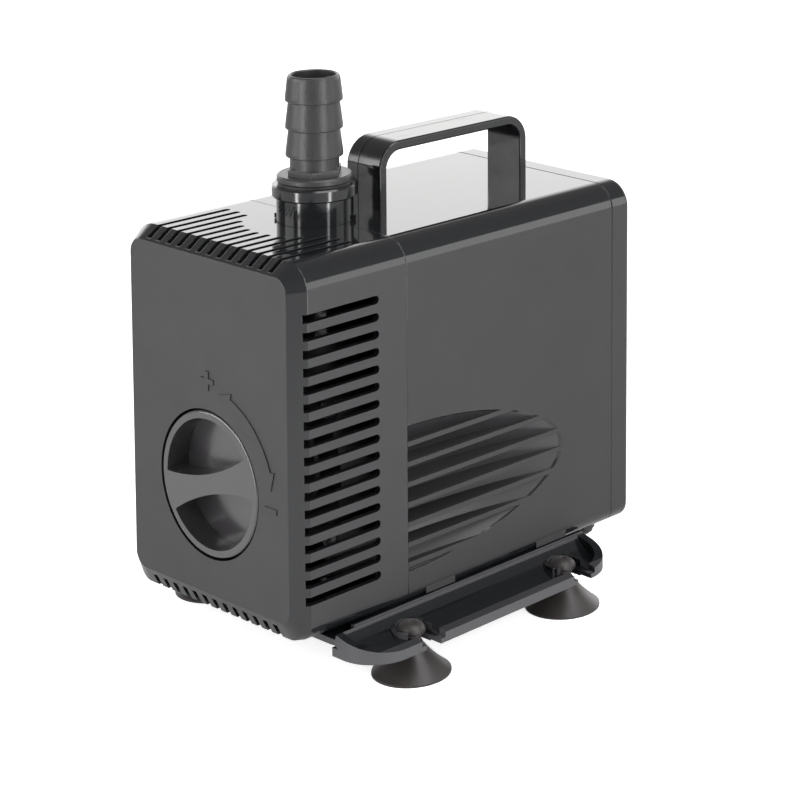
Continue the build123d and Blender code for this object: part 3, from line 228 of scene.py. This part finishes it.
def base_plastic(name, colour, rim_colour):
    """Polished foot plate whose outward faces and rim tops are painted lighter as a highlight."""
    s = Shader(name)
    normal = s.split(s.surface_normal)
    upright = s.spread(s.math("ABSOLUTE", normal[2]), 0.05, 0.2, 1.0, 0.0, smooth=True)
    outward = s.math("MULTIPLY", normal[0], s.split(s.place)[0])
    ends = s.math("MULTIPLY", normal[1], s.split(s.place)[1])
    outward = s.spread(s.math("ADD", outward, ends), 0.0, 0.004, 0.0, 1.0)
    # Upright outward faces get the painted highlight colour (rim_colour) and a satin finish.
    satin_and_painted_light = s.math("MULTIPLY", upright, outward)
    rounded = s.round_normal(0.35 * MM)
    wear = s.edge_wear(rounded)
    cloud = s.noise(45, 4.0, 0.6)
    level = s.spread(normal[2], 0.95, 0.99, 0.0, 1.0)
    at_rim = s.math("GREATER_THAN", s.math("ABSOLUTE", s.split(s.place)[0]), RIM_LIMIT)
    # Flat rim tops get the same painted highlight colour.
    ledge_painted_highlight = s.math("MULTIPLY", level, at_rim)
    base = s.mix(s.math("MAXIMUM", satin_and_painted_light, ledge_painted_highlight), colour, rim_colour)
    base = s.mix(s.math("MULTIPLY", wear, 0.4), base, scaled(rim_colour, 2.2))
    rough = s.blend(satin_and_painted_light, s.spread(cloud, 0.32, 0.7, 0.08, 0.15), 0.5)
    speckle = s.noise(1800, 2.0)
    normal_out = s.bump(s.math("MULTIPLY", speckle, satin_and_painted_light), 0.03 * MM, 0.8, rounded)
    normal_out = s.bump(s.noise(130, 2.0), 0.015 * MM, 0.6, normal_out)
    return s.finish(Base_Color=base, Roughness=rough, Normal=normal_out, IOR=1.52)


def gloss_plastic(name, colour, shine, peel_depth, index=1.55):
    """Polished plastic with faint orange peel, fine hairlines, smudges and brighter edges."""
    s = Shader(name)
    rounded = s.round_normal(0.2 * MM)
    wear = s.edge_wear(rounded)
    cloud = s.noise(45, 4.0, 0.6)
    hair = s.noise(260, 3.0, 0.7, place=s.stretch(s.place, (1.0, 0.12, 2.2)))
    colour_out = s.mix(s.math("MULTIPLY", wear, 0.45), colour, scaled(colour, 5.0))
    rough = s.spread(cloud, 0.32, 0.7, shine, shine + 0.09)
    rough = s.math("ADD", rough, s.spread(hair, 0.55, 0.72, 0.0, 0.08))
    rough = s.math("ADD", rough, s.math("MULTIPLY", wear, 0.15), clamp=True)
    normal = s.bump(s.noise(130, 2.0), peel_depth, 0.7)
    normal = s.bump(hair, 0.004 * MM, 0.6, normal)
    return s.finish(Base_Color=colour_out, Roughness=rough, Normal=normal, IOR=index)


def grained_plastic(name, colour, rim_colour, rough_low, rough_high):
    """Unpolished filled plastic: visible grain, worn and slightly discoloured edges."""
    s = Shader(name)
    rounded = s.round_normal(0.4 * MM)
    wear = s.edge_wear(rounded)
    grain = s.noise(1700, 3.0, 0.6)
    pits = s.spread(s.cells(1100), 0.0, 0.6, 0.0, 1.0)
    cloud = s.noise(90, 3.0)
    speck = s.mix(s.spread(grain, 0.4, 0.68, 0.0, 1.0), scaled(colour, 0.75), scaled(colour, 1.5))
    base = s.mix(s.spread(cloud, 0.35, 0.7, 0.0, 0.35), speck, scaled(colour, 1.25))
    base = s.mix(s.math("MULTIPLY", wear, 0.55), base, rim_colour)
    rough = s.spread(grain, 0.3, 0.7, rough_low, rough_high)
    height = s.math("ADD", grain, s.math("MULTIPLY", pits, 0.5))
    normal = s.bump(height, 0.05 * MM, 0.75, rounded)
    return s.finish(Base_Color=base, Roughness=rough, Normal=normal, IOR=1.5)


def rubber(name, colour, bloom):
    """Soft moulded rubber with a dull bloom, dust in the grain and a weak sheen."""
    s = Shader(name)
    rounded = s.round_normal(0.4 * MM)
    grain = s.noise(1500, 3.0, 0.6)
    cloud = s.noise(110, 4.0, 0.6)
    base = s.mix(s.spread(cloud, 0.35, 0.72, 0.0, 0.8), colour, bloom)
    base = s.mix(s.spread(grain, 0.62, 0.75, 0.0, 0.5), base, scaled(bloom, 1.7))
    rough = s.spread(cloud, 0.3, 0.7, 0.38, 0.52)
    rings = s.noise(700, 1.0, place=s.stretch(s.place, (0.1, 0.1, 1.0)))
    normal = s.bump(grain, 0.04 * MM, 0.6, rounded)
    normal = s.bump(rings, 0.03 * MM, 0.5, normal)
    return s.finish(
        Base_Color=base, Roughness=rough, Normal=normal, Sheen_Weight=0.12, Sheen_Roughness=0.4
    )


def brushed_metal(name, colour, rough):
    """Metal with fine tool marks."""
    s = Shader(name)
    rounded = s.round_normal(0.15 * MM)
    marks = s.noise(1400, 3.0, 0.6, place=s.stretch(s.place, (1.0, 0.15, 1.0)))
    base = s.mix(s.spread(marks, 0.35, 0.65, 0.0, 1.0), scaled(colour, 0.8), colour)
    roughness = s.spread(marks, 0.3, 0.7, rough, rough + 0.2)
    normal = s.bump(marks, 0.01 * MM, 0.6, rounded)
    return s.finish(Base_Color=base, Metallic=1.0, Roughness=roughness, Normal=normal)


def plain_solid(name, colour, rough, grain_scale, grain_depth):
    """Matte engineering material with a fine grain."""
    s = Shader(name)
    rounded = s.round_normal(0.25 * MM)
    grain = s.noise(grain_scale, 3.0, 0.6)
    base = s.mix(s.spread(grain, 0.35, 0.65, 0.0, 1.0), scaled(colour, 0.88), scaled(colour, 1.06))
    roughness = s.spread(grain, 0.3, 0.7, rough, rough + 0.12)
    normal = s.bump(grain, grain_depth, 0.6, rounded)
    return s.finish(Base_Color=base, Roughness=roughness, Normal=normal)


# Cover and housing greys are painted flat grey standing in for the lit look of the outer flats;
# they also tint the worn edges.
COVER_GREY = (0.035, 0.035, 0.0365)
HOUSING_GREY = (0.032, 0.032, 0.033)
# Painted lighter grey for the scoop walls, standing in for the light they catch.
SCOOP_PAINTED_LIGHT_GREY = (0.030, 0.029, 0.031)
POLISHED_BLACK = (0.010, 0.0105, 0.0115)
BLACK = (0.0075, 0.008, 0.009)
BASE_BLACK = (0.006, 0.0066, 0.0075)
DARK_GRAIN = (0.021, 0.0205, 0.0215)

FINISHES = {
    "cover": body_plastic("cover_plastic", COVER_GREY),
    "housing": body_plastic("housing_plastic", HOUSING_GREY),
    "black": gloss_plastic("gloss_black", BLACK, 0.08, 0.012 * MM),
    "knob": gloss_plastic("knob_plastic", (0.032, 0.030, 0.032), 0.15, 0.012 * MM, 1.75),
    # The base's rim colour is a painted highlight on its outward faces and rim tops, and also tints
    # its worn edges.
    "base": base_plastic("base_plastic", BASE_BLACK, (0.052, 0.052, 0.056)),
    "grained": grained_plastic("grained_black", DARK_GRAIN, (0.16, 0.125, 0.118), 0.32, 0.44),
    "inner": grained_plastic("inner_black", (0.012, 0.012, 0.013), (0.03, 0.03, 0.03), 0.4, 0.6),
    "cup": rubber("cup_rubber", (0.016, 0.0132, 0.0132), (0.028, 0.0232, 0.0228)),
    "seal": rubber("seal_rubber", (0.010, 0.010, 0.011), (0.02, 0.02, 0.021)),
    "steel": brushed_metal("steel", (0.55, 0.55, 0.56), 0.22),
    "copper": brushed_metal("copper", (0.62, 0.26, 0.12), 0.3),
    "core": plain_solid("core_steel", (0.12, 0.13, 0.15), 0.4, 900, 0.03 * MM),
    "polymer": plain_solid("white_polymer", (0.62, 0.62, 0.6), 0.38, 1200, 0.02 * MM),
    "ceramic": plain_solid("ceramic", (0.7, 0.69, 0.66), 0.2, 1800, 0.01 * MM),
    "ferrite": plain_solid("ferrite", (0.05, 0.05, 0.053), 0.42, 1500, 0.03 * MM),
    "resin": plain_solid("resin", (0.02, 0.02, 0.018), 0.25, 500, 0.03 * MM),
}

NODE_FINISH = {
    "strainer_cover": "cover",
    "motor_housing": "housing",
    "rear_cover": "housing",
    "rear_cover_screws": "steel",
    "carry_handle": "black",
    "cable_gland": "seal",
    "power_cable": "seal",
    "stator_core": "core",
    "stator_coils": "copper",
    "coil_bobbins": "polymer",
    "thermal_cutout": "steel",
    "motor_potting": "resin",
    "rotor_well": "inner",
    "volute_casing": "inner",
    "volute_cover": "inner",
    "volute_seal": "seal",
    "volute_screws": "steel",
    "outlet_riser": "black",
    "riser_oring": "seal",
    "rotor_shaft": "ceramic",
    "front_bushing": "seal",
    "rear_bushing": "seal",
    "flow_knob": "knob",
    "flow_shutter": "inner",
    "knob_clip": "steel",
    "rotor_magnet": "ferrite",
    "rotor_carrier": "polymer",
    "thrust_washers": "ceramic",
    "impeller": "inner",
    "outlet_gasket": "seal",
    "hose_adapter": "grained",
    "base_plate": "base",
    "suction_cup_front_right": "cup",
    "suction_cup_front_left": "cup",
    "suction_cup_rear_right": "cup",
    "suction_cup_rear_left": "cup",
}


def dress_nodes():
    """Give every CAD node its finish."""
    for name, finish in NODE_FINISH.items():
        obj = NODES[name]
        if not obj.material_slots:
            obj.data.materials.append(None)
        for slot in obj.material_slots:
            slot.material = FINISHES[finish]


dress_nodes()


# ---------------------------------------------------------------- stage, light and camera
PHOTO_PLACE = Vector((0.8834, -0.77911, 0.49644))
PHOTO_AZIMUTH = math.radians(38.52)
PHOTO_ELEVATION = math.radians(7.34)
PHOTO_ROLL = math.radians(0.851)
PHOTO_LENS = 112.72
PHOTO_SHIFT = (-0.528, -0.6345)


def make_floor():
    """Wide pale floor that stays white towards its edges."""
    mesh = bpy.data.meshes.new("floor")
    half = 12.0
    corners = [(-half, -half, 0), (half, -half, 0), (half, half, 0), (-half, half, 0)]
    mesh.from_pydata(corners, [], [(0, 1, 2, 3)])
    floor = bpy.data.objects.new("floor", mesh)
    bpy.context.collection.objects.link(floor)
    s = Shader("floor_paint")
    tree = s.tree
    paint = tree.nodes.new("ShaderNodeBsdfPrincipled")
    grain = s.noise(60, 3.0)
    s.put(paint.inputs["Base Color"], s.mix(grain, (0.86, 0.86, 0.87), (0.9, 0.9, 0.9)))
    paint.inputs["Roughness"].default_value = 0.9
    glow = tree.nodes.new("ShaderNodeEmission")
    glow.inputs["Color"].default_value = (1, 1, 1, 1)
    rays = tree.nodes.new("ShaderNodeLightPath")
    s.put(glow.inputs["Strength"], s.math("MULTIPLY", rays.outputs["Is Camera Ray"], 0.7))
    both = tree.nodes.new("ShaderNodeAddShader")
    tree.links.new(paint.outputs[0], both.inputs[0])
    tree.links.new(glow.outputs[0], both.inputs[1])
    output = tree.nodes.new("ShaderNodeOutputMaterial")
    tree.links.new(both.outputs[0], output.inputs["Surface"])
    mesh.materials.append(s.material)


def make_world():
    """White for the camera; for reflections, a white backdrop behind and a dim studio elsewhere."""
    world = bpy.data.worlds.new("studio")
    world.use_nodes = True
    bpy.context.scene.world = world
    tree = world.node_tree
    tree.nodes.clear()

    def math_node(operation, first, second):
        node = tree.nodes.new("ShaderNodeMath")
        node.operation = operation
        for socket, value in zip(node.inputs, (first, second)):
            if isinstance(value, bpy.types.NodeSocket):
                tree.links.new(value, socket)
            else:
                socket.default_value = value
        return node.outputs[0]

    def ramp(value, low, high, new_low, new_high):
        node = tree.nodes.new("ShaderNodeMapRange")
        node.interpolation_type = "SMOOTHSTEP"
        tree.links.new(value, node.inputs[0])
        for socket, item in zip(node.inputs[1:5], (low, high, new_low, new_high)):
            socket.default_value = item
        return node.outputs[0]

    coords = tree.nodes.new("ShaderNodeTexCoord")
    direction = coords.outputs["Generated"]
    behind = Vector((-math.sin(PHOTO_AZIMUTH), math.cos(PHOTO_AZIMUTH), 0.0))
    dot = tree.nodes.new("ShaderNodeVectorMath")
    dot.operation = "DOT_PRODUCT"
    tree.links.new(direction, dot.inputs[0])
    dot.inputs[1].default_value = behind
    split = tree.nodes.new("ShaderNodeSeparateXYZ")
    tree.links.new(direction, split.inputs[0])
    height = split.outputs[2]
    backdrop = ramp(dot.outputs["Value"], 0.35, 0.7, 0.0, 1.0)
    low_band = ramp(height, 0.34, 0.6, 1.0, 0.0)
    white = math_node("MULTIPLY", backdrop, low_band)
    rays = tree.nodes.new("ShaderNodeLightPath")
    mirrored = rays.outputs["Is Glossy Ray"]
    white_level = math_node("ADD", math_node("MULTIPLY", mirrored, 1.0), 1.15)
    dim_level = math_node("ADD", math_node("MULTIPLY", mirrored, 0.14), 0.26)
    radiance = math_node("ADD", math_node("MULTIPLY", white, white_level), dim_level)
    dim_top = ramp(height, 0.2, 0.9, 1.0, 0.75)
    radiance = math_node("MULTIPLY", radiance, dim_top)
    mix = tree.nodes.new("ShaderNodeMix")
    tree.links.new(rays.outputs["Is Camera Ray"], mix.inputs["Factor"])
    tree.links.new(radiance, mix.inputs[2])
    mix.inputs[3].default_value = 1.0
    background = tree.nodes.new("ShaderNodeBackground")
    background.inputs["Color"].default_value = (1.0, 0.995, 0.99, 1.0)
    tree.links.new(mix.outputs[0], background.inputs["Strength"])
    output = tree.nodes.new("ShaderNodeOutputWorld")
    tree.links.new(background.outputs[0], output.inputs["Surface"])


def softbox(name, place, aim, size, power, seen=True):
    """Square area light aimed at a point."""
    light = bpy.data.lights.new(name, "AREA")
    light.shape = "RECTANGLE"
    light.size, light.size_y = size
    light.energy = power
    lamp = bpy.data.objects.new(name, light)
    lamp.location = place
    lamp.rotation_euler = (Vector(aim) - Vector(place)).to_track_quat("-Z", "Y").to_euler()
    lamp.visible_camera = False
    lamp.visible_glossy = seen
    bpy.context.collection.objects.link(lamp)


def make_lights():
    """Broad softboxes around and above the object, and two thin strips beside the outlet."""
    aim = (0.0, 0.0, 0.11)
    softbox("left_front", (-1.1, -1.7, 0.75), aim, (1.2, 1.2), 21.0)
    softbox("right_front", (2.1, -0.35, 0.8), aim, (1.1, 1.3), 19.0, seen=False)
    softbox("right_rear", (1.6, 1.3, 0.55), aim, (1.0, 0.8), 6.0)
    softbox("overhead", (0.75, 0.35, 1.7), aim, (0.9, 1.6), 18.0)
    softbox("rear", (-0.8, 1.9, 0.9), aim, (1.4, 1.0), 14.0, seen=False)
    # Two tall thin strips give the upright glints on the outlet.
    distance, height = 0.55, 0.36
    for turn, width, power in ((-37.0, 0.07, 2.2), (51.0, 0.06, 1.8)):
        angle = PHOTO_AZIMUTH + math.radians(turn)
        place = (distance * math.sin(angle), RISER_Y - distance * math.cos(angle), height)
        softbox(f"strip_{turn:.0f}", place, (0.0, RISER_Y, height), (width, 0.7), power)


def make_camera():
    """Camera at the photograph's viewpoint. Its lens shift applies only from that place."""
    data = bpy.data.cameras.new("camera")
    data.sensor_width = 36.0
    data.lens = PHOTO_LENS
    data.clip_start = 0.01
    data.clip_end = 60.0
    camera = bpy.data.objects.new("camera", data)
    bpy.context.collection.objects.link(camera)
    a, e, r = PHOTO_AZIMUTH, PHOTO_ELEVATION, PHOTO_ROLL
    back = Vector((math.sin(a) * math.cos(e), -math.cos(a) * math.cos(e), math.sin(e)))
    level_right = Vector((math.cos(a), math.sin(a), 0.0))
    level_up = back.cross(level_right)
    right = level_right * math.cos(r) + level_up * math.sin(r)
    up = level_up * math.cos(r) - level_right * math.sin(r)
    turn = Matrix((right, up, back)).transposed()
    camera.rotation_mode = "QUATERNION"
    camera.rotation_quaternion = turn.to_quaternion()
    camera.location = PHOTO_PLACE
    for channel, shift in zip(("shift_x", "shift_y"), PHOTO_SHIFT):
        driver = data.driver_add(channel).driver
        place = driver.variables.new()
        place.name = "x"
        place.targets[0].id = camera
        place.targets[0].data_path = "location[0]"
        driver.expression = f"{shift} if abs(x - {PHOTO_PLACE.x:.4f}) < 0.001 else 0.0"
    bpy.context.scene.camera = camera


make_floor()
make_world()
make_lights()
make_camera()
bpy.context.scene.view_settings.view_transform = "Standard"
